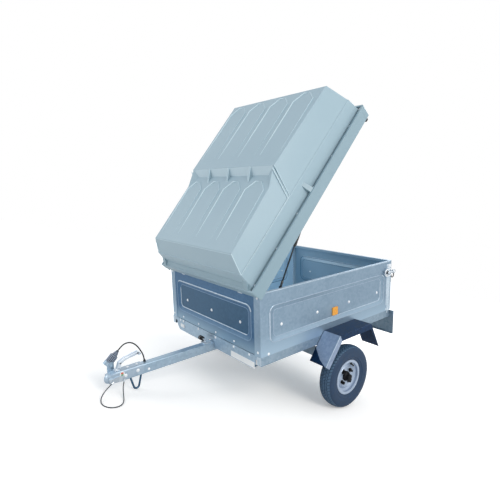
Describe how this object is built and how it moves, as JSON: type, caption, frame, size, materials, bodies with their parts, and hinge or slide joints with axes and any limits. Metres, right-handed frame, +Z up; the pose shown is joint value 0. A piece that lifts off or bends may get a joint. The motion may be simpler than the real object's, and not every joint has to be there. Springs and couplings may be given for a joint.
{
  "type": "camping trailer",
  "caption": "Small single-axle camping trailer: pressed steel tub, drop tailgate, tipping drawbar with ball coupling, moulded stepped lid held open by gas struts.",
  "frame": {"origin": "on the ground under the middle of the parked trailer", "axes": "+X to the trailer's left, +Y to its rear, +Z up; it stands on its two wheels and the foot under the drawbar, so the tub dips to the front"},
  "size_m": [1.322, 2.0706, 1.9843],
  "materials": {
    "galvanised_steel": "satin",
    "zinc_plated_steel": "satin",
    "painted_lever": "satin",
    "abs_lid": "gloss",
    "black_sheet_steel": "satin",
    "tyre_rubber": "matt",
    "wheel_enamel": "gloss",
    "cast_hub": "satin",
    "grey_plug_plastic": "matt",
    "black_rubber": "matt",
    "coated_wire_rope": "satin",
    "red_lens": "gloss",
    "amber_lens": "gloss",
    "clear_lens": "gloss",
    "blank_plate": "satin",
    "strut_black": "satin",
    "strut_chrome": "mirror"
  },
  "bodies": {
    "tub": {"axle_beam": "galvanised_steel", "axle_brackets": "galvanised_steel", "chassis_rail_left": "galvanised_steel", "chassis_rail_right": "galvanised_steel", "cross_members": "galvanised_steel", "floor_pan": "galvanised_steel", "front_apron": "galvanised_steel", "front_cross_member": "galvanised_steel", "front_panel": "galvanised_steel", "front_plate": "blank_plate", "front_reflector": "clear_lens", "gate_hinges": "zinc_plated_steel", "lid_hinges": "zinc_plated_steel", "light_board": "galvanised_steel", "mudguards": "black_sheet_steel", "pivot_bracket": "galvanised_steel", "rear_lamps": "red_lens", "rear_posts": "galvanised_steel", "side_panel_left": "galvanised_steel", "side_panel_right": "galvanised_steel", "side_reflectors": "amber_lens", "strut_studs": "zinc_plated_steel", "suspension_arm_left": "galvanised_steel", "suspension_arm_right": "galvanised_steel", "gate_latches": "zinc_plated_steel"},
    "drawbar": {"drawbar": "galvanised_steel", "coupling_head": "zinc_plated_steel", "coupling_lever": "painted_lever", "parking_foot": "zinc_plated_steel", "tilt_latch": "painted_lever", "plug_holder": "zinc_plated_steel", "plug": "grey_plug_plastic", "safety_cable": "coated_wire_rope", "cable_lug": "zinc_plated_steel", "light_cable": "black_rubber", "light_cable_grommet": "black_rubber"},
    "wheel_left": {"tyre_left": "tyre_rubber", "rim_left": "wheel_enamel", "hub_left": "cast_hub"},
    "wheel_right": {"tyre_right": "tyre_rubber", "rim_right": "wheel_enamel", "hub_right": "cast_hub"},
    "lid": {"lid_shell": "abs_lid", "lid_rim": "abs_lid", "lid_leaves": "zinc_plated_steel", "lid_catches": "zinc_plated_steel", "strut_brackets": "zinc_plated_steel"},
    "tailgate": {"tailgate": "galvanised_steel", "gate_keepers": "zinc_plated_steel"},
    "strut_tube_left": {"strut_tube_left": "strut_black"},
    "strut_tube_right": {"strut_tube_right": "strut_black"},
    "strut_rod_left": {"strut_rod_left": "strut_chrome"},
    "strut_rod_right": {"strut_rod_right": "strut_chrome"}
  },
  "joints": [
    {"name": "wheel_left_spin", "type": "hinge", "parent": "tub", "child": "wheel_left", "pos_m": [0.611, 0.35702, 0.2075], "axis": [1, 0, 0], "continuous": true},
    {"name": "wheel_right_spin", "type": "hinge", "parent": "tub", "child": "wheel_right", "pos_m": [-0.611, 0.35702, 0.2075], "axis": [1, 0, 0], "continuous": true},
    {"name": "drawbar_tilt", "type": "hinge", "parent": "tub", "child": "drawbar", "pos_m": [0, 0.17163, 0.36498], "axis": [1, 0, 0], "range_deg": [0, 35]},
    {"name": "lid_hinge", "type": "hinge", "parent": "tub", "child": "lid", "pos_m": [0, -0.42711, 0.68932], "axis": [1, 0, 0], "range_deg": [-48, 0]},
    {"name": "tailgate_hinge", "type": "hinge", "parent": "tub", "child": "tailgate", "pos_m": [0, 0.95671, 0.63915], "axis": [-1, 0, 0], "range_deg": [0, 170]},
    {"name": "strut_left_pivot", "type": "hinge", "parent": "lid", "child": "strut_tube_left", "pos_m": [0.478, -0.0837, 1.3845], "axis": [1, 0, 0], "range_deg": [-12.91, 0]},
    {"name": "strut_left_slide", "type": "slide", "parent": "strut_tube_left", "child": "strut_rod_left", "axis": [0, -0.2209, -0.9753], "range_m": [-0.09024, 0]},
    {"name": "strut_right_pivot", "type": "hinge", "parent": "lid", "child": "strut_tube_right", "pos_m": [-0.478, -0.0837, 1.3845], "axis": [1, 0, 0], "range_deg": [-12.91, 0]},
    {"name": "strut_right_slide", "type": "slide", "parent": "strut_tube_right", "child": "strut_rod_right", "axis": [0, -0.2209, -0.9753], "range_m": [-0.09024, 0]}
  ],
  "couplings": [
    {"joint": "strut_left_pivot", "follows": "lid_hinge", "ratio": 0.2687},
    {"joint": "strut_left_slide", "follows": "lid_hinge", "m_per_rad": 0.10761},
    {"joint": "strut_right_pivot", "follows": "lid_hinge", "ratio": 0.2687},
    {"joint": "strut_right_slide", "follows": "lid_hinge", "m_per_rad": 0.10761}
  ]
}
